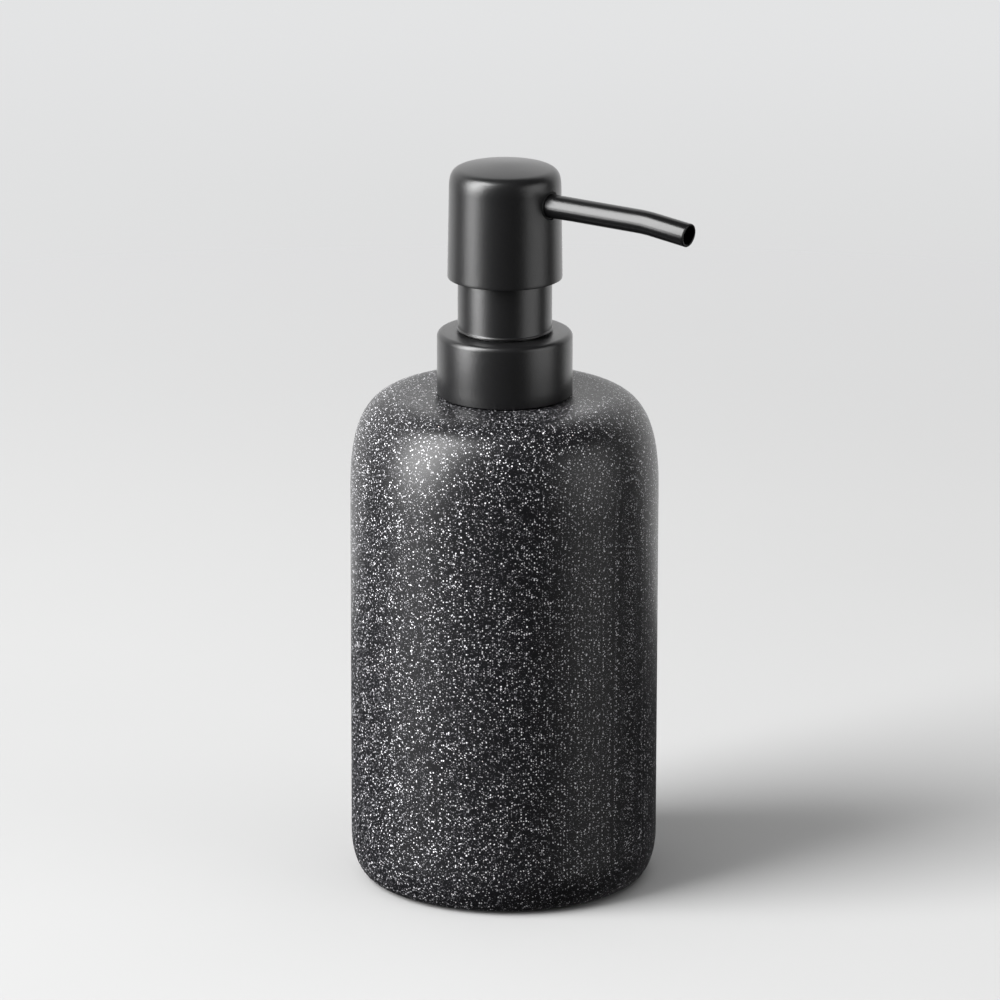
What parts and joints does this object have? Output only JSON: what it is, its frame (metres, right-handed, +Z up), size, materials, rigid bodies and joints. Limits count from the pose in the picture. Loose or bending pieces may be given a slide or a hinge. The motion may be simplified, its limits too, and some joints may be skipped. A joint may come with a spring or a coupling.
{
  "type": "soap pump dispenser",
  "caption": "Free-standing cast-resin bottle with rounded shoulders and a screw-on metal-clad hand pump with a slim spout, for liquid soap or lotion.",
  "frame": {"origin": "centre of the bottle's underside, on the surface that it stands on and on the bottle's axis", "axes": "+Z up along the bottle's axis, +X the way the spout points at rest"},
  "size_m": [0.0923, 0.076, 0.1816],
  "materials": {
    "bottle_resin": "matte cast resin, charcoal with fine pale speckles",
    "foam_pad": "closed-cell foam, matte black",
    "white_plastic": "natural white moulded plastic",
    "clear_plastic": "translucent natural polyethylene and polypropylene",
    "soft_plastic": "soft natural polyethylene",
    "gasket_foam": "white foam sealing ring",
    "spring_steel": "stainless spring wire",
    "ball_steel": "polished stainless ball",
    "black_plastic": "black moulded plastic",
    "black_metal": "satin black coated drawn metal",
    "black_spout": "semi-gloss black coated tube",
    "black_rubber": "matte black rubber"
  },
  "bodies": {
    "bottle": {"bottle": "bottle_resin", "base_pad": "foam_pad", "neck_insert": "white_plastic"},
    "pump_body": {"gasket": "gasket_foam", "housing": "clear_plastic", "dip_tube": "clear_plastic", "ball_cage": "white_plastic", "spring": "spring_steel", "lock_ring": "black_plastic", "sleeve": "black_metal"},
    "collar": {"closure": "black_plastic", "collar_shell": "black_metal"},
    "inlet_ball": {"inlet_ball": "ball_steel"},
    "piston": {"piston": "soft_plastic"},
    "actuator": {"stem": "white_plastic", "spring_seat": "white_plastic", "head_core": "black_plastic", "head_shell": "black_metal", "spout_tube": "black_spout", "spout_seal": "black_rubber"},
    "outlet_ball": {"outlet_ball": "ball_steel"}
  },
  "joints": [
    {"name": "pump_lift", "type": "slide", "parent": "bottle", "child": "pump_body", "axis": [0, 0, 1], "range_m": [0, 0.0053]},
    {"name": "closure_turn", "type": "hinge", "parent": "pump_body", "child": "collar", "pos_m": [0, 0, 0.13], "axis": [0, 0, 1], "range_deg": [0, 450]},
    {"name": "stroke", "type": "slide", "parent": "pump_body", "child": "piston", "axis": [0, 0, -1], "range_m": [0, 0.012], "stiffness_N_per_m": 400, "springref_m": -0.01, "deforming": ["spring"]},
    {"name": "head_swivel", "type": "hinge", "parent": "piston", "child": "actuator", "pos_m": [0, 0, 0.13], "axis": [0, 0, 1], "continuous": true},
    {"name": "inlet_ball_lift", "type": "slide", "parent": "pump_body", "child": "inlet_ball", "axis": [0, 0, 1], "range_m": [0, 0.0015]},
    {"name": "outlet_ball_lift", "type": "slide", "parent": "actuator", "child": "outlet_ball", "axis": [0, 0, 1], "range_m": [0, 0.0012]}
  ],
  "couplings": [
    {"joint": "pump_lift", "follows": "closure_turn", "m_per_rad": 0.00067376}
  ]
}
